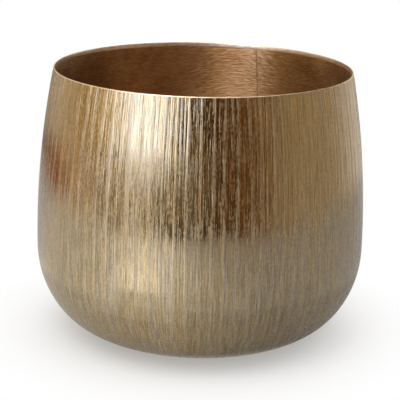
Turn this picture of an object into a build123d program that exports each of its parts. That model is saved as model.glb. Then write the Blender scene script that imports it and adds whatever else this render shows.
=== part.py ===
"""Brushed brass cachepot: a rolled wall band on a pressed base bowl, brazed together, on felt pads.

Millimetres, +Z up. The origin is on the turning axis, at the level that the pads stand on.
"""

from math import asin, cos, radians, sin
from build123d import *
import os

# Driving sizes of the body, outside of the sheet
belly_diameter = 200.0
rim_diameter = 178.5
base_flat_diameter = 116.0
belly_height = 53.0
body_height = 160.5
sheet = 1.2

# Brazed joints
girth_gap = 1.6
girth_crown = 0.5
seam_gap = 1.4
seam_crown = 0.4
seam_lip_clearance = 2.5
seam_azimuth = 67.0

# Felt pads under the flat of the base, the first one this far round from the seam
pad_count = 4
pad_diameter = 16.0
pad_thickness = 1.5
pad_circle_diameter = 86.0
pad_turn_from_seam = 45.0

# Heights above the surface that the pot stands on
base_underside = pad_thickness
girth_bottom = base_underside + belly_height - girth_gap / 2
girth_middle = base_underside + belly_height
girth_top = base_underside + belly_height + girth_gap / 2
rim_top = base_underside + body_height

# Radii
belly_radius = belly_diameter / 2
rim_radius = rim_diameter / 2
base_flat_radius = base_flat_diameter / 2
inner_belly_radius = belly_radius - sheet

# The wall is an arc that leaves the belly upright and leans in to the rim
wall_rise = rim_top - girth_top
wall_lean = belly_radius - rim_radius
wall_arc_radius = (wall_rise**2 + wall_lean**2) / (2 * wall_lean)


def wall_angle(depth, height):
    """Angle above the belly at which an arc this deep in the wall reaches this height."""
    return asin((height - girth_top) / (wall_arc_radius - depth))


def wall_point(depth, angle):
    """Point of the wall's section, this deep in from the outside, at this angle above the belly."""
    radius = wall_arc_radius - depth
    centre = belly_radius - wall_arc_radius
    return (centre + radius * cos(angle), girth_top + radius * sin(angle))


# Wall section: square at the belly, rounded over the whole thickness of the sheet at the lip
lip_radius = sheet / 2
lip_angle = wall_angle(lip_radius, rim_top - lip_radius)
lip_x, lip_z = wall_point(lip_radius, lip_angle)
lip_crest = (lip_x - lip_radius * sin(lip_angle), lip_z + lip_radius * cos(lip_angle))

with BuildSketch(Plane.XZ) as wall_section:
    with BuildLine():
        outer_foot = wall_point(0, 0)
        outer_end = wall_point(0, lip_angle)
        inner_end = wall_point(sheet, lip_angle)
        inner_foot = wall_point(sheet, 0)
        ThreePointArc(outer_foot, wall_point(0, lip_angle / 2), outer_end)
        ThreePointArc(outer_end, lip_crest, inner_end)
        ThreePointArc(inner_end, wall_point(sheet, lip_angle / 2), inner_foot)
        Line(inner_foot, outer_foot)
    make_face()

# Seam slot: an upright gap through one side of the wall, where the ends of the rolled sheet meet
with BuildPart() as seam_slot:
    with BuildSketch(Plane.XY.offset(girth_top)):
        with Locations(Rotation(0, 0, seam_azimuth)):
            Rectangle(belly_diameter, seam_gap, align=(Align.MIN, Align.CENTER))
    extrude(amount=wall_rise)

# Wall band: one strip of sheet rolled round, its two ends facing each other at the seam
with BuildPart() as wall_band:
    revolve(wall_section.sketch, axis=Axis.Z)
    add(seam_slot.part, mode=Mode.SUBTRACT)
wall_band.part.label = "wall_band"

# Seam weld: fills the gap between the ends, flush outside and a little proud inside
crown_depth = sheet + seam_crown
crown_angle = wall_angle(sheet, rim_top - seam_lip_clearance)

with BuildPart() as wall_seam_weld:
    revolve(wall_section.sketch, axis=Axis.Z)
    with BuildSketch(Plane.XZ) as crown_section:
        with BuildLine():
            crown_foot = wall_point(crown_depth, 0)
            crown_end = wall_point(crown_depth, crown_angle)
            sheet_end = wall_point(sheet, crown_angle)
            Line(inner_foot, crown_foot)
            ThreePointArc(crown_foot, wall_point(crown_depth, crown_angle / 2), crown_end)
            Line(crown_end, sheet_end)
            ThreePointArc(sheet_end, wall_point(sheet, crown_angle / 2), inner_foot)
        make_face()
    revolve(axis=Axis.Z)
    add(seam_slot.part, mode=Mode.INTERSECT)
wall_seam_weld.part.label = "wall_seam_weld"

# Girth weld: a ring between the wall and the bowl, flush outside and crowned inside
with BuildPart() as girth_weld:
    with BuildSketch(Plane.XZ):
        with BuildLine():
            Polyline(
                (inner_belly_radius, girth_bottom),
                (belly_radius, girth_bottom),
                (belly_radius, girth_top),
                (inner_belly_radius, girth_top),
            )
            ThreePointArc(
                (inner_belly_radius, girth_top),
                (inner_belly_radius - girth_crown, girth_middle),
                (inner_belly_radius, girth_bottom),
            )
        make_face()
    revolve(axis=Axis.Z)
girth_weld.part.label = "girth_weld"

# Base bowl: a flat disc that turns up through a quarter ellipse and ends upright at the belly
haunch_width = belly_radius - base_flat_radius
haunch_height = girth_bottom - base_underside
haunch_centre = (base_flat_radius, girth_bottom)
floor_level = base_underside + sheet

with BuildPart() as base_bowl:
    with BuildSketch(Plane.XZ):
        with BuildLine():
            outside = EllipticalCenterArc(
                haunch_centre, haunch_width, haunch_height, start_angle=270, arc_size=90
            )
            inside = EllipticalCenterArc(
                haunch_centre, haunch_width - sheet, haunch_height - sheet, start_angle=270, arc_size=90
            )
            Line(outside @ 1, inside @ 1)
            Polyline(inside @ 0, (0, floor_level), (0, base_underside), outside @ 0)
        make_face()
    revolve(axis=Axis.Z)
base_bowl.part.label = "base_bowl"

# Felt pads: stuck to the flat underside, evenly round the axis
felt_pads = []
for index in range(pad_count):
    azimuth = radians(seam_azimuth + pad_turn_from_seam + index * 360 / pad_count)
    centre_x = pad_circle_diameter / 2 * cos(azimuth)
    centre_y = pad_circle_diameter / 2 * sin(azimuth)
    with BuildPart() as felt_pad:
        with BuildSketch(Plane.XY):
            with Locations((centre_x, centre_y)):
                Circle(pad_diameter / 2)
        extrude(amount=pad_thickness)
    felt_pad.part.label = f"felt_pad_{index + 1}"
    felt_pads.append(felt_pad.part)

# Files, one for each piece
pieces = [wall_band.part, wall_seam_weld.part, girth_weld.part, base_bowl.part, *felt_pads]
os.makedirs("parts", exist_ok=True)
for piece in pieces:
    export_step(piece, f"parts/{piece.label}.step")
    print(piece.label, "volume", round(piece.volume, 1), "mm3")
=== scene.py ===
"""Dresses the brass cachepot: brushed outside, polished lip, warm turned inside and felt pads.

Everything is in metres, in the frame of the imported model: +Z up, the pot's axis on Z, and the
side that the photograph shows towards -Y. Every surface of the pot is swept round an axis by
one Geometry Nodes tree, from elliptical arcs. Their sizes are read from the frame, apart from
what it doesn't tell, such as the sheet's thickness.
"""

import logging
from dataclasses import dataclass, field
from enum import Enum
from math import asin, atan2, cos, pi, radians, sin
from typing import ClassVar

import bmesh
import bpy
from mathutils import Matrix, Vector


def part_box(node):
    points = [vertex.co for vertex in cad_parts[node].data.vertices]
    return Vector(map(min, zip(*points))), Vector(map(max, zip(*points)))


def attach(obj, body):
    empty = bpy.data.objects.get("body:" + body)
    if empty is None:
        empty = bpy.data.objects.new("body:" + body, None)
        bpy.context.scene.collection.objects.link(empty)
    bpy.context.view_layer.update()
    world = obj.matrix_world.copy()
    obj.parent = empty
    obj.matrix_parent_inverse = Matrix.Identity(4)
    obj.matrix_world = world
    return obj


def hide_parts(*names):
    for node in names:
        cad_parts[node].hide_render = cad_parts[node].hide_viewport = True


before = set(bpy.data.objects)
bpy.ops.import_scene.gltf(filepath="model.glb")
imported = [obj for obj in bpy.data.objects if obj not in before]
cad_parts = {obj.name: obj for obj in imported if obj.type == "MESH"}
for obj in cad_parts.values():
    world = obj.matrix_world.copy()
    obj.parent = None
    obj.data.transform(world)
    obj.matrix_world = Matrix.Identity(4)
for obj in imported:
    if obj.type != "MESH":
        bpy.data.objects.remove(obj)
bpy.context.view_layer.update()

MM = 0.001
MATH = "ShaderNodeMath"
VECTOR = "ShaderNodeVectorMath"
NOISE = "ShaderNodeTexNoise"
RANGE = "ShaderNodeMapRange"
RAMP = "ShaderNodeValToRGB"
BUMP = "ShaderNodeBump"
PLACE = "ShaderNodeTexCoord"
Tree = bpy.types.NodeTree
Node = bpy.types.Node
Outputs = bpy.types.NodeOutputs
Socket = bpy.types.NodeSocket
Material = bpy.types.Material
Colour = tuple[float, float, float, float]
Stops = tuple[tuple[float, str], ...]
WHITE: Colour = (1.0, 1.0, 1.0, 1.0)

# A noise pattern mostly stays within this span.
NOISE_SPAN = (0.3, 0.7)
# A stroke runs outwards on a level face at this share of its pace up the wall.
OUTWARD_PACE = 0.7
# Edges of two arcs that lie closer than this are welded.
WELD_GAP = 0.004 * MM
# An edge is sharp from this angle between its faces.
SHARP_ANGLE = radians(50)

log = logging.getLogger("cachepot")


def linear(hex_colour: str) -> Colour:
    """Turns an sRGB hex value into a linear colour.

    Args:
        hex_colour: the colour as "#rrggbb".

    Returns:
        Red, green and blue in linear light, and an alpha of 1.
    """
    channels = [int(hex_colour[i : i + 2], 16) / 255 for i in (1, 3, 5)]
    light = [c / 12.92 if c <= 0.04045 else ((c + 0.055) / 1.055) ** 2.4 for c in channels]
    return (*light, 1.0)


def fill(tree: Tree, node: Node, values: dict[int | str, object]) -> None:
    """Sets or links a node's inputs.

    Args:
        tree: the node's tree.
        node: the node.
        values: numbers, colours or output sockets, by the input's number or name.
    """
    for key, value in values.items():
        if isinstance(value, Socket):
            tree.links.new(value, node.inputs[key])
        else:
            node.inputs[key].default_value = value


def add_node(
    tree: Tree,
    kind: str,
    *values: object,
    named: dict[str, object] | None = None,
    stops: Stops = (),
    give: int | str | None = 0,
    **settings: object,
) -> Socket | Node:
    """Adds one node, with its settings, and fills its inputs.

    Args:
        tree: the tree that gets the node.
        kind: the node's type name.
        values: numbers, colours or output sockets for its first inputs, in order.
        named: the same for inputs by name.
        stops: positions and sRGB hex colours, where the node has a colour ramp.
        give: which output to return, or None for the node itself.
        settings: properties of the node itself.

    Returns:
        The output socket, or the node.
    """
    node = tree.nodes.new(kind)
    for name, value in settings.items():
        setattr(node, name, value)
    fill(tree, node, dict(enumerate(values)) | (named or {}))
    for index, (position, colour) in enumerate(stops):
        elements = node.color_ramp.elements
        element = elements[index] if index < len(elements) else elements.new(position)
        element.position, element.color = position, linear(colour)
    return node if give is None else node.outputs[give]


def new_material(name: str) -> tuple[Material, Node]:
    """Makes a material with one plain shader.

    Args:
        name: the material's name.

    Returns:
        The material and its shader.
    """
    material = bpy.data.materials.new(name)
    material.use_nodes = True
    return material, material.node_tree.nodes["Principled BSDF"]


def put(name: str, data: bpy.types.ID) -> bpy.types.Object:
    """Puts a new object into the scene, at the origin.

    Args:
        name: the object's name.
        data: its mesh, light or lens.

    Returns:
        The object.
    """
    thing = bpy.data.objects.new(name, data)
    bpy.context.scene.collection.objects.link(thing)
    return thing


# Finishes


class Finish(Enum):
    """The finishes of the pot, by the name of their material."""

    BRUSHED_OUTSIDE = "brushed_antique_brass"
    TURNED_INSIDE = "turned_lacquered_brass"
    POLISHED_LIP = "polished_brass_edge"
    BRAZED_BEAD = "dressed_brazing"
    PRESSED_FELT = "pressed_wool_felt"


@dataclass(frozen=True)
class Strokes:
    """Strokes wrapped round the pot, with no seam where they meet.

    Attributes:
        width: size of a stroke round the pot, at its belly.
        length: size of a stroke up the wall, or outwards on a level face.
        detail: how much finer detail the strokes carry.
        distortion: how much they wander.
        seed: tells one set of strokes from another.
    """

    width: float
    length: float
    detail: float = 1.0
    distortion: float = 0.0
    seed: float = 0.0

    def height(self, tree: Tree, belly_radius: float) -> Socket:
        """Adds the nodes of the pattern.

        Args:
            tree: a material's node tree.
            belly_radius: radius at which the width holds.

        Returns:
            The strokes' height, mostly within NOISE_SPAN.
        """
        place = add_node(tree, PLACE, give="Object")
        flat = add_node(tree, VECTOR, place, (1, 1, 0), operation="MULTIPLY")
        around = add_node(tree, VECTOR, flat, operation="NORMALIZE")
        scale = belly_radius / self.width
        around = add_node(tree, VECTOR, around, (scale, scale, 0), operation="MULTIPLY")
        radius = add_node(tree, VECTOR, flat, operation="LENGTH", give="Value")
        upright = add_node(tree, "ShaderNodeSeparateXYZ", place, give=2)
        along = add_node(tree, MATH, radius, OUTWARD_PACE, upright, operation="MULTIPLY_ADD")
        along = add_node(tree, MATH, along, self.length, operation="DIVIDE")
        lift = add_node(tree, "ShaderNodeCombineXYZ", named={"Z": along})
        wrapped = add_node(tree, VECTOR, around, lift, operation="ADD")
        pattern = {
            "Vector": wrapped,
            "W": self.seed,
            "Scale": 1.0,
            "Detail": self.detail,
            "Distortion": self.distortion,
        }
        return add_node(tree, NOISE, named=pattern, noise_dimensions="4D")


@dataclass(frozen=True)
class MetalFinish:
    """What the metal finishes share.

    Attributes:
        finish: the finish that names the material.
        belly_radius: radius at which the widths of the strokes hold.
    """

    finish: ClassVar[Finish]
    belly_radius: float

    def start(self) -> tuple[Material, Node]:
        """Makes the material that the finish names, and returns it with its metal shader."""
        material, shader = new_material(self.finish.value)
        shader.inputs["Metallic"].default_value = 1.0
        return material, shader


@dataclass(frozen=True)
class BrushedBrass(MetalFinish):
    """Antique brass sheet, brushed upright by hand, smooth in its grooves and worn on its crests.

    The grooves mirror the dark and bright parts of the room, stretched across the strokes. The
    worn crests gather light from all round, so where a bright light ends in the dark they
    stand out as ragged cream lines, and where the room is plain they almost vanish. The brass
    wanders a little between copper, gold, olive and silver-grey. Real strokes are finer than a
    picture of this size can show, so the finest here are about half a millimetre wide.

    The hues lie along the height of hue_strokes. The scales are short flecks, which break the
    edges of the crests, and the drift makes the crests stray, by crest_drift radians of their
    own wave. The shares say what strokes, hairs, scales and crests, in this order, add to the
    relief, and to the wear, which goes from worn_from to worn_to. The tones say how dark and
    how bright the scales and the hairs make the colour, and worn_silver is what wear adds.
    """

    finish = Finish.BRUSHED_OUTSIDE
    hues: Stops = (
        (0.36, "#AB9369"),
        (0.45, "#A99570"),
        (0.52, "#A49378"),
        (0.6, "#AD9B7D"),
        (0.66, "#A89B88"),
    )
    hue_strokes: Strokes = Strokes(0.75 * MM, 50 * MM, 2.0, 0.2, 1.0)
    strokes: Strokes = Strokes(1.4 * MM, 100 * MM, 2.0, 0.1, 2.0)
    hairs: Strokes = Strokes(0.45 * MM, 14 * MM, 1.0, 0.1, 3.0)
    scales: Strokes = Strokes(0.75 * MM, 1.9 * MM, 0.0, 0.2, 4.0)
    drift: Strokes = Strokes(9 * MM, 120 * MM, 2.0, 0.0, 9.0)
    crest_count: int = 90
    crest_phase: float = 3.46
    crest_drift: float = 8.0
    crest_from: float = 0.4
    relief_shares: tuple[float, ...] = (0.56, 0.29, 0.0, 0.19)
    wear_shares: tuple[float, ...] = (0.26, 0.52, 0.26, 0.12)
    worn_from: float = 0.48
    worn_to: float = 0.72
    depth: float = 0.5 * MM
    groove_tone: float = 0.83
    worn_tone: float = 1.1
    fleck_tones: tuple[float, float] = (0.94, 1.06)
    hair_tones: tuple[float, float] = (0.79, 1.21)
    worn_silver: tuple[float, float, float] = (0.014, 0.016, 0.022)
    groove_roughness: float = 0.13
    worn_roughness: float = 0.52
    anisotropy: float = 0.6

    def crests(self, tree: Tree) -> Socket:
        """Adds the nodes of the crests, a brush's width apart, which drift a little.

        Args:
            tree: the material's node tree.

        Returns:
            1 along a crest, and 0 from a little beside it to the next.
        """
        place = add_node(tree, PLACE, give="Object")
        sides = add_node(tree, "ShaderNodeSeparateXYZ", place, give=None).outputs
        turn = add_node(tree, MATH, sides[1], sides[0], operation="ARCTAN2")
        drift = self.drift.height(tree, self.belly_radius)
        drift = add_node(tree, MATH, drift, 0.5, operation="SUBTRACT")
        shift = (drift, self.crest_drift, self.crest_phase)
        shift = add_node(tree, MATH, *shift, operation="MULTIPLY_ADD")
        turn = add_node(tree, MATH, turn, float(self.crest_count), shift, operation="MULTIPLY_ADD")
        crests = add_node(tree, MATH, turn, operation="COSINE")
        return add_node(tree, RANGE, crests, self.crest_from, 1.0, 0.0, 1.0)

    def add_up(
        self, tree: Tree, patterns: tuple[Socket, ...], shares: tuple[float, ...]
    ) -> Socket:
        """Adds up patterns.

        Args:
            tree: the material's node tree.
            patterns: the strokes, the hairs, the scales and the crests.
            shares: how much of each goes in.

        Returns:
            The sum.
        """
        total = 0.0
        for pattern, share in zip(patterns, shares):
            total = add_node(tree, MATH, pattern, share, total, operation="MULTIPLY_ADD")
        return total

    def colour(self, tree: Tree, worn: Socket, hairs: Socket, scales: Socket) -> Socket:
        """Adds the nodes of the colour, which is paler and more silvery where it is worn.

        Args:
            tree: the material's node tree.
            worn: 0 in a groove, and 1 where the brass is worn.
            hairs: the height of the hairs.
            scales: the height of the scales.

        Returns:
            The colour.
        """
        hue = self.hue_strokes.height(tree, self.belly_radius)
        hue = add_node(tree, RAMP, hue, stops=self.hues)
        tone = add_node(tree, RANGE, worn, 0.0, 1.0, self.groove_tone, self.worn_tone)
        fleck = add_node(tree, RANGE, scales, *NOISE_SPAN, *self.fleck_tones)
        hair = add_node(tree, RANGE, hairs, *NOISE_SPAN, *self.hair_tones)
        fleck = add_node(tree, MATH, fleck, hair, operation="MULTIPLY")
        tone = add_node(tree, MATH, tone, fleck, operation="MULTIPLY")
        colour = add_node(tree, VECTOR, hue, named={"Scale": tone}, operation="SCALE")
        silver = {"Scale": worn}
        silver = add_node(tree, VECTOR, self.worn_silver, named=silver, operation="SCALE")
        return add_node(tree, VECTOR, colour, silver, operation="ADD")

    def build(self) -> Material:
        """Builds the material and returns it."""
        material, shader = self.start()
        tree = material.node_tree
        strokes = self.strokes.height(tree, self.belly_radius)
        hairs = self.hairs.height(tree, self.belly_radius)
        scales = self.scales.height(tree, self.belly_radius)
        patterns = (strokes, hairs, scales, self.crests(tree))
        height = self.add_up(tree, patterns, self.relief_shares)
        bump = {"Strength": 1.0, "Distance": self.depth, "Height": height}
        relief = add_node(tree, BUMP, named=bump)
        worn = self.add_up(tree, patterns, self.wear_shares)
        worn = add_node(tree, RANGE, worn, self.worn_from, self.worn_to, 0.0, 1.0)
        colour = self.colour(tree, worn, hairs, scales)
        dulling = (0.0, 1.0, self.groove_roughness, self.worn_roughness)
        dressing = {
            "Base Color": colour,
            "Roughness": add_node(tree, RANGE, worn, *dulling),
            "Normal": relief,
            "Anisotropic": self.anisotropy,
        }
        fill(tree, shader, dressing)
        return material


@dataclass(frozen=True)
class TurnedBrass(MetalFinish):
    """The inside: brass turned on the lathe and lacquered a warm copper brown.

    Short level lines from the tool, a quarter turn from the outside's strokes, catch the light
    as dashes. They are coarser than real ones, so that they show. The walls mirror each other,
    so it goes dark brown where the light comes by way of two walls.
    """

    finish = Finish.TURNED_INSIDE
    hues: Stops = ((0.36, "#9E774F"), (0.5, "#B28C63"), (0.64, "#C29F78"))
    lines: Strokes = Strokes(4.5 * MM, 0.95 * MM, 1.5, 0.0, 5.0)
    clouds: Strokes = Strokes(18 * MM, 11 * MM, 3.0, 0.4, 6.0)
    depth: float = 0.42 * MM
    roughness: float = 0.46
    anisotropy: float = 0.85
    line_turn: float = 0.25

    def build(self) -> Material:
        """Builds the material and returns it."""
        material, shader = self.start()
        tree = material.node_tree
        lines = self.lines.height(tree, self.belly_radius)
        clouds = self.clouds.height(tree, self.belly_radius)
        tone = add_node(tree, MATH, lines, clouds, operation="ADD")
        tone = add_node(tree, MATH, tone, 0.5, operation="MULTIPLY")
        colour = add_node(tree, RAMP, tone, stops=self.hues)
        bump = {"Strength": 1.0, "Distance": self.depth, "Height": lines}
        dressing = {
            "Base Color": colour,
            "Roughness": self.roughness,
            "Normal": add_node(tree, BUMP, named=bump),
            "Anisotropic": self.anisotropy,
            "Anisotropic Rotation": self.line_turn,
        }
        fill(tree, shader, dressing)
        return material


@dataclass(frozen=True)
class PolishedEdge(MetalFinish):
    """The sheet's edge, rounded over and buffed bright, so it shows as a fine pale line."""

    finish = Finish.POLISHED_LIP
    hues: Stops = ((0.36, "#D4BC9C"), (0.6, "#EEDDC4"))
    marks: Strokes = Strokes(5 * MM, 1.2 * MM, 3.0, 0.3, 7.0)
    depth: float = 0.04 * MM
    roughness: float = 0.41

    def build(self) -> Material:
        """Builds the material and returns it."""
        material, shader = self.start()
        tree = material.node_tree
        marks = self.marks.height(tree, self.belly_radius)
        colour = add_node(tree, RAMP, marks, stops=self.hues)
        bump = {"Strength": 1.0, "Distance": self.depth, "Height": marks}
        relief = add_node(tree, BUMP, named=bump)
        dressing = {"Base Color": colour, "Roughness": self.roughness, "Normal": relief}
        fill(tree, shader, dressing)
        return material


@dataclass(frozen=True)
class DressedBrazing(TurnedBrass):
    """Brazing metal, turned over with the inside: a shade darker, with shorter lines."""

    finish = Finish.BRAZED_BEAD
    hues: Stops = ((0.36, "#8E6944"), (0.5, "#A17B54"), (0.64, "#B08B66"))
    lines: Strokes = Strokes(2.5 * MM, 1.1 * MM, 1.5, 0.3, 8.0)


@dataclass(frozen=True)
class PressedFelt:
    """Dark wool felt, pressed and cut: matt, with a mottle of short matted fibres."""

    finish = Finish.PRESSED_FELT
    hues: Stops = ((0.36, "#26231F"), (0.64, "#4D4843"))
    fibre: float = 0.5 * MM
    clump: float = 2.5 * MM
    nap: float = 0.15 * MM
    roughness: float = 0.95
    sheen: float = 0.35

    def build(self) -> Material:
        """Builds the material and returns it."""
        material, shader = new_material(self.finish.value)
        tree = material.node_tree
        place = add_node(tree, PLACE, give="Object")
        fine = {"Vector": place, "Scale": 1 / self.fibre, "Detail": 4.0, "Distortion": 1.5}
        coarse = {"Vector": place, "Scale": 1 / self.clump, "Detail": 2.0}
        fibres = add_node(tree, NOISE, named=fine)
        clumps = add_node(tree, NOISE, named=coarse)
        tone = add_node(tree, MATH, fibres, clumps, operation="ADD")
        tone = add_node(tree, MATH, tone, 0.5, operation="MULTIPLY")
        colour = add_node(tree, RAMP, tone, stops=self.hues)
        bump = {"Strength": 0.8, "Distance": self.nap, "Height": fibres}
        dressing = {
            "Base Color": colour,
            "Roughness": self.roughness,
            "Normal": add_node(tree, BUMP, named=bump),
            "Sheen Weight": self.sheen,
        }
        fill(tree, shader, dressing)
        return material


# Turned shapes


@dataclass(frozen=True)
class Relief:
    """How a swept surface stands out from its true arc.

    Attributes:
        depth: height of its strokes.
        width: width of its strokes, at the belly.
        length: length of its strokes.
        crown: how far the middle of the sweep stands out from its sides.
        fade: share of the arc over which all this fades in and out.
        seed: tells one relief from another.
    """

    depth: float = 0.0
    width: float = 1 * MM
    length: float = 1 * MM
    crown: float = 0.0
    fade: float = 0.03
    seed: float = 0.0


@dataclass(frozen=True)
class Arc:
    """One stretch of a turned section: an elliptical arc, or a level line if upright is 0.

    The arcs of a section run outwards along its foot, up its outside, over its top and down
    its inside, so that the swept faces point out of the metal.

    Attributes:
        centre_radius: distance of the arc's centre from the turning axis.
        centre_height: height of the arc's centre.
        across: the arc's half axis away from the turning axis.
        upright: the arc's half axis along it.
        start: angle of the arc's first point, in radians.
        end: angle of its last point.
        rows: number of faces along it.
        finish: what the surface is finished with.
        relief: how it stands out.
        relief_at_start: share of the relief at its first row.
        relief_at_end: share of the relief at its last row.
    """

    centre_radius: float
    centre_height: float
    across: float
    upright: float
    start: float
    end: float
    rows: int
    finish: Finish
    relief: Relief = Relief()
    relief_at_start: float = 0.0
    relief_at_end: float = 0.0


class SweptArc:
    """The Geometry Nodes tree that sweeps one arc of a section round an axis."""

    FLOATS = (
        "Centre radius", "Centre height", "Across", "Upright", "Start angle", "End angle",
        "Start azimuth", "Sweep", "Axis x", "Axis y", "Relief depth", "Stroke width",
        "Stroke length", "Crown", "Fade", "Relief at start", "Relief at end", "Seed",
    )
    COUNTS = ("Rows", "Columns")

    def __init__(self, belly_radius: float) -> None:
        """Builds the tree.

        Args:
            belly_radius: radius at which the relief's stroke width holds.
        """
        self.belly_radius = belly_radius
        self.tree = bpy.data.node_groups.new("swept_arc", "GeometryNodeTree")
        face = self.tree.interface
        face.new_socket("Geometry", in_out="INPUT", socket_type="NodeSocketGeometry")
        face.new_socket("Geometry", in_out="OUTPUT", socket_type="NodeSocketGeometry")
        inputs = [(name, "NodeSocketFloat") for name in self.FLOATS]
        inputs += [(name, "NodeSocketInt") for name in self.COUNTS]
        inputs.append(("Material", "NodeSocketMaterial"))
        self.identifiers = {
            name: face.new_socket(name, in_out="INPUT", socket_type=kind).identifier
            for name, kind in inputs
        }
        self.build()

    def build(self) -> None:
        """Adds the tree's nodes: a flat grid of shares, bent into the swept surface."""
        tree = self.tree
        given = add_node(tree, "NodeGroupInput", give=None).outputs
        sides = {
            "Size X": 1.0,
            "Size Y": 1.0,
            "Vertices X": add_node(tree, MATH, given["Columns"], 1.0, operation="ADD"),
            "Vertices Y": add_node(tree, MATH, given["Rows"], 1.0, operation="ADD"),
        }
        grid = add_node(tree, "GeometryNodeMeshGrid", named=sides)
        place = add_node(tree, "GeometryNodeInputPosition")
        shares = add_node(tree, VECTOR, place, (0.5, 0.5, 0.0), operation="ADD")
        shares = add_node(tree, "ShaderNodeSeparateXYZ", shares, give=None).outputs
        turn = (shares[0], given["Sweep"], given["Start azimuth"])
        azimuth = add_node(tree, MATH, *turn, operation="MULTIPLY_ADD")
        span = add_node(tree, MATH, given["End angle"], given["Start angle"], operation="SUBTRACT")
        course = (shares[1], span, given["Start angle"])
        angle = add_node(tree, MATH, *course, operation="MULTIPLY_ADD")
        east = add_node(tree, MATH, azimuth, operation="COSINE")
        north = add_node(tree, MATH, azimuth, operation="SINE")
        outwards = add_node(tree, MATH, angle, operation="COSINE")
        upwards = add_node(tree, MATH, angle, operation="SINE")
        true_radius = (given["Across"], outwards, given["Centre radius"])
        true_height = (given["Upright"], upwards, given["Centre height"])
        radius = add_node(tree, MATH, *true_radius, operation="MULTIPLY_ADD")
        height = add_node(tree, MATH, *true_height, operation="MULTIPLY_ADD")
        relief = self.relief(given, shares, east, north, height)
        radius = add_node(tree, MATH, relief, outwards, radius, operation="MULTIPLY_ADD")
        height = add_node(tree, MATH, relief, upwards, height, operation="MULTIPLY_ADD")
        x = add_node(tree, MATH, radius, east, given["Axis x"], operation="MULTIPLY_ADD")
        y = add_node(tree, MATH, radius, north, given["Axis y"], operation="MULTIPLY_ADD")
        bent = {"Position": add_node(tree, "ShaderNodeCombineXYZ", x, y, height)}
        surface = add_node(tree, "GeometryNodeSetPosition", grid, named=bent)
        surface = add_node(tree, "GeometryNodeRealizeInstances", surface)
        dressing = {"Material": given["Material"]}
        surface = add_node(tree, "GeometryNodeSetMaterial", surface, named=dressing)
        joined = add_node(tree, "GeometryNodeJoinGeometry", give=None)
        tree.links.new(given["Geometry"], joined.inputs[0])
        tree.links.new(surface, joined.inputs[0])
        add_node(tree, "NodeGroupOutput", joined.outputs[0], give=None)

    def relief(
        self, given: Outputs, shares: Outputs, east: Socket, north: Socket, height: Socket
    ) -> Socket:
        """Adds the nodes that work out how far each point stands out.

        Args:
            given: the tree's inputs.
            shares: how far round and how far along the arc a point is, from 0 to 1.
            east: cosine of the point's azimuth.
            north: sine of it.
            height: the point's height.

        Returns:
            The distance out of the metal.
        """
        tree = self.tree
        scale = add_node(tree, MATH, self.belly_radius, given["Stroke width"], operation="DIVIDE")
        x = add_node(tree, MATH, east, scale, operation="MULTIPLY")
        y = add_node(tree, MATH, north, scale, operation="MULTIPLY")
        z = add_node(tree, MATH, height, given["Stroke length"], operation="DIVIDE")
        pattern = {
            "Vector": add_node(tree, "ShaderNodeCombineXYZ", x, y, z),
            "W": given["Seed"],
            "Scale": 1.0,
            "Detail": 1.5,
        }
        noise = add_node(tree, NOISE, named=pattern, noise_dimensions="4D")
        noise = add_node(tree, MATH, noise, 0.5, operation="SUBTRACT")
        strokes = add_node(tree, MATH, noise, given["Relief depth"], operation="MULTIPLY")
        # Four times a share times what is left of it is 1 in the middle, and 0 at the sides.
        left = add_node(tree, MATH, 1.0, shares[0], operation="SUBTRACT")
        across = add_node(tree, MATH, left, shares[0], operation="MULTIPLY")
        across = add_node(tree, MATH, across, 4.0, operation="MULTIPLY")
        standing = add_node(tree, MATH, across, given["Crown"], strokes, operation="MULTIPLY_ADD")
        from_start = add_node(tree, MATH, shares[1], given["Fade"], operation="DIVIDE")
        from_start = add_node(tree, MATH, from_start, given["Relief at start"], operation="ADD")
        to_end = add_node(tree, MATH, 1.0, shares[1], operation="SUBTRACT")
        to_end = add_node(tree, MATH, to_end, given["Fade"], operation="DIVIDE")
        to_end = add_node(tree, MATH, to_end, given["Relief at end"], operation="ADD")
        weight = add_node(tree, MATH, from_start, to_end, operation="MINIMUM")
        weight = add_node(tree, MATH, weight, 1.0, operation="MINIMUM")
        return add_node(tree, MATH, standing, weight, operation="MULTIPLY")


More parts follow.
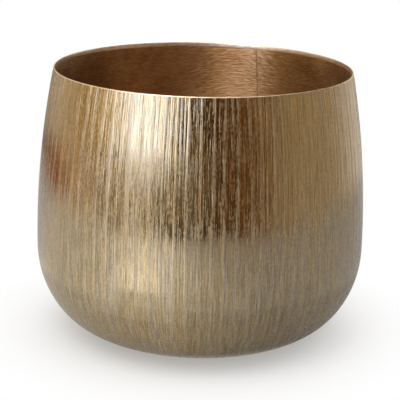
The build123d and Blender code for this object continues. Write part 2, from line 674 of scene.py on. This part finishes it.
@dataclass
class TurnedPiece:
    """A piece swept round an axis from the arcs of its section.

    Attributes:
        name: the piece's name.
        node: the CAD node that it stands for.
        slot: the record's material slot. It is not used.
        section: the arcs of its section, in order.
        columns: number of faces round the sweep.
        start_azimuth: where the sweep starts, in radians.
        sweep: how far it goes, in radians.
        axis: x and y of the axis that it is swept round.
    """

    name: str
    node: str
    slot: str
    section: list[Arc]
    columns: int
    start_azimuth: float = 0.0
    sweep: float = 2 * pi
    axis: tuple[float, float] = (0.0, 0.0)

    def values(self, arc: Arc, materials: dict[Finish, Material]) -> dict[str, object]:
        """Collects what the tree needs for one arc.

        Args:
            arc: the arc.
            materials: the material of each finish.

        Returns:
            The tree's inputs by name.
        """
        return {
            "Centre radius": arc.centre_radius,
            "Centre height": arc.centre_height,
            "Across": arc.across,
            "Upright": arc.upright,
            "Start angle": arc.start,
            "End angle": arc.end,
            "Start azimuth": self.start_azimuth,
            "Sweep": self.sweep,
            "Axis x": self.axis[0],
            "Axis y": self.axis[1],
            "Relief depth": arc.relief.depth,
            "Stroke width": arc.relief.width,
            "Stroke length": arc.relief.length,
            "Crown": arc.relief.crown,
            "Fade": arc.relief.fade,
            "Relief at start": arc.relief_at_start,
            "Relief at end": arc.relief_at_end,
            "Seed": arc.relief.seed,
            "Rows": arc.rows,
            "Columns": self.columns,
            "Material": materials[arc.finish],
        }

    def build(self, swept: SweptArc, materials: dict[Finish, Material]) -> None:
        """Sweeps the section, makes the result a plain closed mesh and hands it over.

        Args:
            swept: the tree that sweeps one arc.
            materials: the material of each finish.
        """
        piece = put(self.name, bpy.data.meshes.new(self.name))
        for index, arc in enumerate(self.section):
            modifier = piece.modifiers.new(f"arc_{index}", "NODES")
            modifier.node_group = swept.tree
            for name, value in self.values(arc, materials).items():
                socket = swept.identifiers[name]
                modifier[socket] = float(value) if name in SweptArc.FLOATS else value
        evaluated = piece.evaluated_get(bpy.context.evaluated_depsgraph_get())
        mesh = bpy.data.meshes.new_from_object(evaluated)
        piece.modifiers.clear()
        piece.data = mesh
        mesh.name = self.name
        self.close(mesh)
        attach(piece, "root")
        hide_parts(self.node)
        mesh.calc_loop_triangles()
        log.info("%s stands for %s: %d triangles", self.name, self.node, len(mesh.loop_triangles))

    def close(self, mesh: bpy.types.Mesh) -> None:
        """Welds the arcs together, caps the ends of a part turn and smooths the faces.

        Args:
            mesh: the swept mesh.
        """
        work = bmesh.new()
        work.from_mesh(mesh)
        bmesh.ops.remove_doubles(work, verts=work.verts, dist=WELD_GAP)
        open_edges = [edge for edge in work.edges if edge.is_boundary]
        if open_edges:
            bmesh.ops.holes_fill(work, edges=open_edges, sides=0)
        work.to_mesh(mesh)
        work.free()
        mesh.shade_smooth()
        mesh.set_sharp_from_angle(angle=SHARP_ANGLE)


# The pot


@dataclass
class Body:
    """The four metal pieces of the pot: wall, seam, girth joint and bowl.

    Attributes:
        flat_radius: radius of the flat of the base.
        rim_radius: outside radius at the lip.
        sheet: thickness of the brass.
        seam_width: width of the wall's seam.
        girth_crown: how far the girth joint's bead stands out inside.
        inner_polish: how far the polish of the lip goes down the inside.
        columns: number of faces round a full turn.
        seam_columns: number of faces across the seam.
        wall_rows: number up the wall's outside. The other rows are the same for half of the
            lip, the insides, the bowl's haunch, its flat, the girth joint and its bead.
        brushing: the outside's own relief, under the material's finer strokes.
        rippling: the relief of the girth joint's bead.
        seam_bead: the relief of the seam's inside. Its crown stands out towards the axis.
        belly_radius: outside radius at the belly.
        underside: height of the underside of the base.
        girth_bottom: height at which the bowl ends.
        girth_top: height at which the wall starts.
        rim_top: height of the lip.
        seam_azimuth: direction of the seam from the axis, in radians.
    """

    flat_radius: float = 58 * MM
    rim_radius: float = 89.25 * MM
    sheet: float = 1.2 * MM
    seam_width: float = 1.4 * MM
    girth_crown: float = 0.5 * MM
    inner_polish: float = 1.9 * MM
    columns: int = 1100
    seam_columns: int = 8
    wall_rows: int = 58
    lip_rows: int = 5
    inner_rows: int = 15
    haunch_rows: int = 40
    flat_rows: int = 5
    girth_rows: int = 2
    bead_rows: int = 6
    brushing: Relief = Relief(0.11 * MM, 2.6 * MM, 55 * MM, seed=3.0)
    rippling: Relief = Relief(0.2 * MM, 2.4 * MM, 2.4 * MM, fade=0.3, seed=11.0)
    seam_bead: Relief = Relief(0.1 * MM, 2 * MM, 6 * MM, crown=-0.07 * MM, seed=5.0)
    belly_radius: float = field(init=False)
    underside: float = field(init=False)
    girth_bottom: float = field(init=False)
    girth_top: float = field(init=False)
    rim_top: float = field(init=False)
    seam_azimuth: float = field(init=False)

    def __post_init__(self) -> None:
        """Reads the heights, the belly and the seam's direction from the frame's nodes."""
        bowl_low, bowl_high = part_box("base_bowl")
        wall_low, wall_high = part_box("wall_band")
        seam_low, seam_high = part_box("wall_seam_weld")
        self.belly_radius = bowl_high[0]
        self.underside = bowl_low[2]
        self.girth_bottom = bowl_high[2]
        self.girth_top = wall_low[2]
        self.rim_top = wall_high[2]
        self.seam_azimuth = atan2(seam_low[1] + seam_high[1], seam_low[0] + seam_high[0])

    @property
    def wall_arc(self) -> float:
        """Radius of the arc that the wall follows from the belly to the lip."""
        rise = self.rim_top - self.girth_top
        lean = self.belly_radius - self.rim_radius
        return (rise**2 + lean**2) / (2 * lean)

    @property
    def wall_centre(self) -> float:
        """Distance of that arc's centre from the axis, less than 0 as it lies beyond it."""
        return self.belly_radius - self.wall_arc

    @property
    def lip_angle(self) -> float:
        """Angle along the wall's arc at which the rounded lip starts."""
        middle_arc = self.wall_arc - self.sheet / 2
        return asin((self.rim_top - self.sheet / 2 - self.girth_top) / middle_arc)

    @property
    def seam_half_turn(self) -> float:
        """Half of the turn that the seam takes up."""
        return self.seam_width / 2 / self.belly_radius

    def wall_section(self, inside: Finish, inner_relief: Relief) -> list[Arc]:
        """Lists the arcs of the wall's section, from the foot of its outside.

        Args:
            inside: the finish of its inside.
            inner_relief: the relief of its inside.

        Returns:
            The arcs: outside, lip, its longer inner side, inside and foot.
        """
        outer, inner = self.wall_arc, self.wall_arc - self.sheet
        middle_arc = self.wall_arc - self.sheet / 2
        lip_radius = self.wall_centre + middle_arc * cos(self.lip_angle)
        lip_height = self.girth_top + middle_arc * sin(self.lip_angle)
        polish_end = self.lip_angle - self.inner_polish / inner
        inner_foot = self.girth_top + inner * sin(polish_end)
        inner_across = lip_radius - self.wall_centre - inner * cos(polish_end)
        start = (self.wall_centre, self.girth_top)
        half = self.sheet / 2
        inner_upright = lip_height + half - inner_foot
        brushed, polished = Finish.BRUSHED_OUTSIDE, Finish.POLISHED_LIP
        over = (self.lip_angle, pi / 2, self.lip_rows)
        down = (inner_across, inner_upright, pi / 2, pi, self.lip_rows)
        return [
            Arc(*start, outer, outer, 0, self.lip_angle, self.wall_rows, brushed, self.brushing, 1),
            Arc(lip_radius, lip_height, half, half, *over, polished),
            Arc(lip_radius, inner_foot, *down, polished),
            Arc(*start, inner, inner, polish_end, 0, self.inner_rows, inside, inner_relief),
            self.edge(self.girth_top, pi / 2, 0, inside),
        ]

    def edge(self, height: float, start: float, end: float, finish: Finish) -> Arc:
        """Makes a level face across the sheet, which meets the brushed outside.

        Args:
            height: the face's height.
            start: quarter turn to run outwards, or 0 to run inwards.
            end: the other one of the two.
            finish: the face's finish.

        Returns:
            The face's arc.
        """
        inner_radius = self.belly_radius - self.sheet
        span = (inner_radius, height, self.sheet, 0.0, start, end, 1)
        return Arc(*span, finish, self.brushing, float(start == 0), float(end == 0))

    def wall(self) -> TurnedPiece:
        """The rolled wall, open at the seam."""
        section = self.wall_section(Finish.TURNED_INSIDE, Relief())
        start = self.seam_azimuth + self.seam_half_turn
        sweep = 2 * pi - 2 * self.seam_half_turn
        return TurnedPiece(
            "brushed_wall", "wall_band", "brass_sheet", section, self.columns, start, sweep
        )

    def seam(self) -> TurnedPiece:
        """The brazed seam that fills the wall's gap, flush outside and a bead inside."""
        section = self.wall_section(Finish.BRAZED_BEAD, self.seam_bead)
        start = self.seam_azimuth - self.seam_half_turn
        sweep = 2 * self.seam_half_turn
        return TurnedPiece(
            "brazed_seam", "wall_seam_weld", "brazing", section, self.seam_columns, start, sweep
        )

    def girth(self) -> TurnedPiece:
        """The brazed ring between wall and bowl, flush outside and a bead inside."""
        middle = (self.girth_bottom + self.girth_top) / 2
        half_gap = (self.girth_top - self.girth_bottom) / 2
        turn = asin(half_gap / self.wall_arc)
        outside = (self.wall_centre, middle, self.wall_arc, self.wall_arc, -turn, turn)
        bead = (self.belly_radius - self.sheet, middle, -self.girth_crown, half_gap)
        brushed, brazed = Finish.BRUSHED_OUTSIDE, Finish.BRAZED_BEAD
        section = [
            Arc(*outside, self.girth_rows, brushed, self.brushing, 1, 1),
            self.edge(self.girth_top, 0, pi / 2, brazed),
            Arc(*bead, pi / 2, -pi / 2, self.bead_rows, brazed, self.rippling),
            self.edge(self.girth_bottom, pi / 2, 0, brazed),
        ]
        return TurnedPiece("brazed_girth", "girth_weld", "brazing", section, self.columns)

    def bowl(self) -> TurnedPiece:
        """The pressed bowl with its flat base."""
        across = self.belly_radius - self.flat_radius
        upright = self.girth_bottom - self.underside
        centre = (self.flat_radius, self.girth_bottom)
        inner = (across - self.sheet, upright - self.sheet)
        floor = (0, self.underside + self.sheet, self.flat_radius, 0)
        foot = (0, self.underside, self.flat_radius, 0)
        brushed, turned = Finish.BRUSHED_OUTSIDE, Finish.TURNED_INSIDE
        haunch = (-pi / 2, 0, self.haunch_rows, brushed, self.brushing, 0, 1)
        section = [
            Arc(*centre, across, upright, *haunch),
            self.edge(self.girth_bottom, 0, pi / 2, turned),
            Arc(*centre, *inner, 0, -pi / 2, self.inner_rows, turned),
            Arc(*floor, 0, pi / 2, self.flat_rows, turned),
            Arc(*foot, pi / 2, 0, self.flat_rows, turned),
        ]
        return TurnedPiece("brushed_bowl", "base_bowl", "brass_sheet", section, self.columns)

    def pieces(self) -> list[TurnedPiece]:
        """Lists all four pieces."""
        return [self.wall(), self.seam(), self.girth(), self.bowl()]


@dataclass
class FeltPads:
    """The felt pads under the base, each cut round with a softly crushed edge.

    Attributes:
        count: number of pads.
        crush: radius of the crushed lower edge.
        columns: number of faces round a pad.
        face_rows: number from the middle of its top or its underside to its edge.
        edge_rows: number up the crushed edge, and up the side above it.
    """

    count: int = 4
    crush: float = 0.35 * MM
    columns: int = 72
    face_rows: int = 4
    edge_rows: int = 3

    def pieces(self) -> list[TurnedPiece]:
        """Lists one turned piece for each pad."""
        return [self.pad(index + 1) for index in range(self.count)]

    def pad(self, number: int) -> TurnedPiece:
        """Makes one pad at its node's place.

        Args:
            number: the pad's number in its node's name.

        Returns:
            The pad's piece.
        """
        node = f"felt_pad_{number}"
        low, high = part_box(node)
        radius = (high[0] - low[0]) / 2
        axis = ((low[0] + high[0]) / 2, (low[1] + high[1]) / 2)
        flat = radius - self.crush
        side = (high[2] - low[2] - self.crush) / 2
        felt = Finish.PRESSED_FELT
        crushed = (flat, low[2] + self.crush, self.crush, self.crush)
        section = [
            Arc(0, low[2], flat, 0, pi / 2, 0, self.face_rows, felt),
            Arc(*crushed, -pi / 2, 0, self.edge_rows, felt),
            Arc(radius, high[2] - side, 0, side, -pi / 2, pi / 2, self.edge_rows, felt),
            Arc(0, high[2], radius, 0, 0, pi / 2, self.face_rows, felt),
        ]
        return TurnedPiece(f"felt_disc_{number}", node, "felt", section, self.columns, axis=axis)


# The studio


@dataclass(frozen=True)
class Card:
    """A strip bent round the pot, out of the picture, for the metal to mirror.

    Attributes:
        name: the card's name.
        start: bearing of its left edge, in degrees from the picture's side towards +X.
        end: bearing of its right edge.
        low: height of its lower edge.
        high: height of its upper edge.
        colour: its colour.
        level: how bright it is, where 1 is white paper in full light.
        near: distance of its lower edge from the axis.
        far: distance of its upper edge.
        clear: the colour that it lets through, black for none.
        step: how far one of its faces turns, in degrees.
    """

    name: str
    start: float
    end: float
    low: float
    high: float
    colour: str
    level: float = 1.0
    near: float = 0.5
    far: float = 0.5
    clear: str = "#000000"
    step: float = 4.0

    def build(self) -> None:
        """Builds the card, which only mirrors see."""
        steps = max(2, round(abs(self.end - self.start) / self.step))
        vertices = []
        for index in range(steps + 1):
            bearing = radians(self.start + (self.end - self.start) * index / steps)
            for distance, height in ((self.near, self.low), (self.far, self.high)):
                vertices.append((distance * sin(bearing), -distance * cos(bearing), height))
        faces = [(2 * i, 2 * i + 1, 2 * i + 3, 2 * i + 2) for i in range(steps)]
        mesh = bpy.data.meshes.new(self.name)
        mesh.from_pydata(vertices, [], faces)
        card = put(self.name, mesh)
        material, _ = new_material(self.name)
        tree = material.node_tree
        tree.nodes.clear()
        glow = add_node(tree, "ShaderNodeEmission", linear(self.colour), self.level)
        pane = add_node(tree, "ShaderNodeBsdfTransparent", linear(self.clear))
        glow = add_node(tree, "ShaderNodeAddShader", glow, pane)
        add_node(tree, "ShaderNodeOutputMaterial", glow, give=None)
        mesh.materials.append(material)
        card.visible_camera = False
        card.visible_diffuse = False
        card.visible_shadow = False


@dataclass(frozen=True)
class Lamp:
    """A square lamp that points at the pot.

    Attributes:
        name: the lamp's name.
        place: where it hangs.
        watts: its power.
        size: the length of its side.
        aim_height: height of the point on the axis that it points at.
    """

    name: str
    place: tuple[float, float, float]
    watts: float
    size: float = 0.9
    aim_height: float = 0.08

    def build(self) -> None:
        """Hangs the lamp."""
        light = bpy.data.lights.new(self.name, "AREA")
        light.shape = "SQUARE"
        light.size = self.size
        light.energy = self.watts
        lamp = put(self.name, light)
        lamp.location = self.place
        direction = Vector((0, 0, self.aim_height)) - Vector(self.place)
        lamp.rotation_euler = direction.to_track_quat("-Z", "Y").to_euler()


@dataclass
class Studio:
    """Pale floor, white surroundings, soft lamps and the cards that the metal mirrors.

    Attributes:
        floor_size: length of the floor's side.
        floor_colour: its colour.
        floor_roughness: its roughness, that of matt paper.
        shadow_reach: distance from the axis within which the floor shows its full shading.
        white_from: distance from which it is seen as plain white.
        least_white: how much of that white it shows beside the pot.
        room_light: how bright the white surroundings are as a light.
        lamps: the lamps.
        cards: the cards.
    """

    floor_size: float = 6.0
    floor_colour: str = "#F6F5F3"
    floor_roughness: float = 0.9
    shadow_reach: float = 0.06
    white_from: float = 0.15
    least_white: float = 0.32
    room_light: float = 0.7
    lamps: tuple[Lamp, ...] = (
        Lamp("key_light", (-0.4, -0.5, 1.5), 6.0),
        Lamp("fill_light", (0.8, -0.3, 1.4), 3.0),
        Lamp("back_light", (0.1, 0.7, 1.5), 4.0),
    )
    cards: tuple[Card, ...] = (
        # In front of the pot, behind the camera
        Card("dark_flag", -17, 14, 0.0, 0.36, "#4C3512", 1.0, 0.499, 0.499),
        Card("flag_foot", -16, 0, 0.035, 0.15, "#CCBA9A", 1.0, 0.498, 0.498),
        Card("copper_curtain", 14, 42, 0.0, 0.3, "#8E6234"),
        Card("room_front", -16, 42, 0.3, 0.9, "#93856F"),
        # The window on the left, with its sill and what stands under it
        Card("window", -51, -24, 0.13, 0.4, "#CCDDFF", 6.8),
        Card("window_edge", -24, -17, 0.13, 0.4, "#FFE8C0", 2.3),
        Card("window_top", -56, -14, 0.4, 0.9, "#FFFAF2", 4.5),
        Card("window_veil", -64, -52, 0.13, 0.9, "#FFE094", 1.45),
        Card("window_gold", -95, -64, 0.1, 0.9, "#FFD88C", 0.85, 0.499, 0.499),
        Card("gold_foot", -84, -64, 0.0, 0.1, "#FFE7CA"),
        Card("skylight", -60, -8, 0.9, 1.3, "#FFF4E2", 8.0, 0.5, 0.25),
        Card("bench_left", -64, -48, 0.0, 0.13, "#96866C"),
        Card("window_sill", -50, -26, 0.085, 0.13, "#F4F4FF", 2.5, 0.499, 0.499),
        Card("window_foot", -48, -30, 0.0, 0.13, "#FFF8EE", 1.6),
        Card("bench_right", -30, -16, 0.0, 0.13, "#7C6D54"),
        # The walls and doors on the left, on the right and behind
        Card("wall_left", -138, -84, 0.055, 0.5, "#F6E6D0"),
        Card("skirting_left", -98, -84, 0.0, 0.055, "#F6E6D0"),
        Card("timber_left", -128, -98, 0.0, 0.07, "#B8662E"),
        Card("wall_behind_left", -160, -128, 0.0, 0.5, "#8C8883", 1.0, 0.52, 0.52),
        Card("wall_right", 42, 110, 0.0, 0.3, "#D0BFA4"),
        Card("shelf_right", 42, 150, 0.3, 0.9, "#4A3E2C"),
        Card("edge_right", 110, 150, 0.0, 0.3, "#DED8D0", 1.5),
        Card("door_behind", 150, 164, 0.0, 0.13, "#40382F"),
        Card("window_behind", 150, 200, 0.13, 0.6, "#FFEFDC", 0.95),
        Card("sill_behind", 164, 200, 0.0, 0.13, "#D8D0C4"),
        # Painted glow on the floor: pools of light that only mirrors see, which let the floor show
        # through
        Card("floor_glow", -58, -8, 0.001, 0.001, "#EAF2FF", 0.25, 0.12, 0.46, "#FFFFFF"),
        Card("floor_shine", -40, -22, 0.001, 0.001, "#EAEEFF", 2.8, 0.22, 0.47, "#FFFFFF"),
        # Painted shade on the floor, which only mirrors see: the floor shows through darker behind
        # on the left, towards the right and near the pot
        Card("floor_left_painted_shade", -180, -120, 0.0009, 0.0009, "#000000", 0.0, 0.075, 0.5, "#D6D8DC"),
        Card("floor_shade", -6, 160, 0.0011, 0.0011, "#000000", 0.0, 0.075, 0.5, "#EAEBED"),
        Card("floor_dusk", 10, 150, 0.0012, 0.0012, "#000000", 0.0, 0.075, 0.5, "#EAEBED"),
        Card("floor_shadow", 26, 140, 0.0013, 0.0013, "#000000", 0.0, 0.075, 0.5, "#F0F0F2"),
        Card("floor_near_painted_shade", -180, 180, 0.0008, 0.0008, "#000000", 0.0, 0.07, 0.15, "#E9E7E5"),
        # Overhead
        Card("roof_left", -170, 0, 1.32, 1.4, "#FFE2BC", 1.6, 0.4, 0.0),
        Card("roof_right", 0, 190, 1.32, 1.4, "#E8D8C4", 0.9, 0.4, 0.0),
        Card("ceiling", -180, 180, 1.2, 2.4, "#6C665E", 1.0, 2.0, 0.0),
    )

    def build(self) -> None:
        """Builds everything that isn't the pot."""
        self.build_floor()
        self.build_surroundings()
        for thing in (*self.lamps, *self.cards):
            thing.build()

    def build_floor(self) -> None:
        """Lays the pale floor that the pads stand on.

        It is a sheet of matt white paper. It keeps the pot's shadow, and away from the pot it
        goes over into the plain white of the surroundings, so that no horizon shows.
        """
        half = self.floor_size / 2
        corners = [(-half, -half, 0), (half, -half, 0), (half, half, 0), (-half, half, 0)]
        mesh = bpy.data.meshes.new("pale_floor")
        mesh.from_pydata(corners, [], [(0, 1, 2, 3)])
        floor = put("pale_floor", mesh)
        material, shader = new_material("pale_paper")
        tree = material.node_tree
        paper = {"Base Color": linear(self.floor_colour), "Roughness": self.floor_roughness}
        fill(tree, shader, paper)
        place = add_node(tree, PLACE, give="Object")
        away = add_node(tree, VECTOR, place, operation="LENGTH", give="Value")
        share = (away, self.shadow_reach, self.white_from, self.least_white, 1.0)
        share = add_node(tree, RANGE, *share, interpolation_type="SMOOTHSTEP")
        share = add_node(tree, MATH, self.seen(tree), share, operation="MULTIPLY")
        white = add_node(tree, "ShaderNodeEmission", WHITE, 1.0)
        surface = add_node(tree, "ShaderNodeMixShader", share, shader.outputs[0], white)
        tree.links.new(surface, tree.nodes["Material Output"].inputs[0])
        mesh.materials.append(material)

    def seen(self, tree: Tree) -> Socket:
        """Adds the nodes that tell what is seen, or mirrored, from what only gives light.

        Args:
            tree: the node tree of the world or of the floor.

        Returns:
            1 for what the camera, a mirror or glass shows, and 0 for other light.
        """
        path = add_node(tree, "ShaderNodeLightPath", give=None).outputs
        seen = (path["Is Camera Ray"], path["Is Glossy Ray"])
        seen = add_node(tree, MATH, *seen, operation="MAXIMUM")
        return add_node(tree, MATH, seen, path["Is Transmission Ray"], operation="MAXIMUM")

    def build_surroundings(self) -> None:
        """Makes the world white where a camera or a mirror looks, and softer as a light."""
        world = bpy.data.worlds.new("studio")
        bpy.context.scene.world = world
        world.use_nodes = True
        tree = world.node_tree
        tree.nodes.clear()
        strength = add_node(tree, RANGE, self.seen(tree), 0.0, 1.0, self.room_light, 1.0)
        sky = add_node(tree, "ShaderNodeBackground", WHITE, strength)
        add_node(tree, "ShaderNodeOutputWorld", sky, give=None)


@dataclass
class Viewpoint:
    """The camera, placed by a fit of the pot's outline to the photograph.

    Attributes:
        elevation: how far it looks down, in degrees.
        roll: how far the picture leans clockwise, in degrees.
        distance: distance from the aim.
        aim_height: height of the point on the axis that the fit aimed at.
        aim_right: how far right of the picture's middle that point is, at the pot.
        aim_up: how far above the picture's middle it is, at the pot.
        pixels_per_metre: scale of the picture at the pot.
        picture_width: width of the picture, in pixels.
        sensor_width: width of the sensor, in millimetres.
    """

    elevation: float = 15.73
    roll: float = 1.3
    distance: float = 0.8
    aim_height: float = 0.0865
    aim_right: float = 0.36 * MM
    aim_up: float = 7.29 * MM
    pixels_per_metre: float = 1627.4
    picture_width: float = 400.0
    sensor_width: float = 36.0

    def build(self) -> None:
        """Places the camera and makes it the scene's."""
        tilt = radians(self.elevation)
        forward = Vector((0, cos(tilt), -sin(tilt)))
        up = Vector((0, sin(tilt), cos(tilt)))
        aim = Vector((0, 0, self.aim_height))
        place = aim - forward * self.distance
        target = aim - up * self.aim_up - Vector((1, 0, 0)) * self.aim_right
        look = (target - place).normalized()
        side = look.cross(Vector((0, 0, 1))).normalized()
        lean = Matrix.Rotation(-radians(self.roll), 3, look)
        axes = Matrix((lean @ side, lean @ side.cross(look), -look)).transposed()
        lens = bpy.data.cameras.new("picture")
        lens.sensor_width = self.sensor_width
        width_at_pot = self.picture_width / self.pixels_per_metre
        lens.lens = self.sensor_width * self.distance / width_at_pot
        camera = put("picture", lens)
        camera.matrix_world = Matrix.Translation(place) @ axes.to_4x4()
        bpy.context.scene.camera = camera


def main() -> None:
    """Builds the camera, the pot and the studio, in that order."""
    logging.basicConfig(level=logging.INFO, format="%(name)s: %(message)s")
    bpy.context.scene.view_settings.view_transform = "Standard"
    Viewpoint().build()
    body = Body()
    kinds = (BrushedBrass, TurnedBrass, PolishedEdge, DressedBrazing)
    dressings = [kind(body.belly_radius) for kind in kinds] + [PressedFelt()]
    materials = {dressing.finish: dressing.build() for dressing in dressings}
    swept = SweptArc(body.belly_radius)
    for piece in body.pieces() + FeltPads().pieces():
        piece.build(swept, materials)
    Studio().build()


if __name__ == "__main__":
    main()
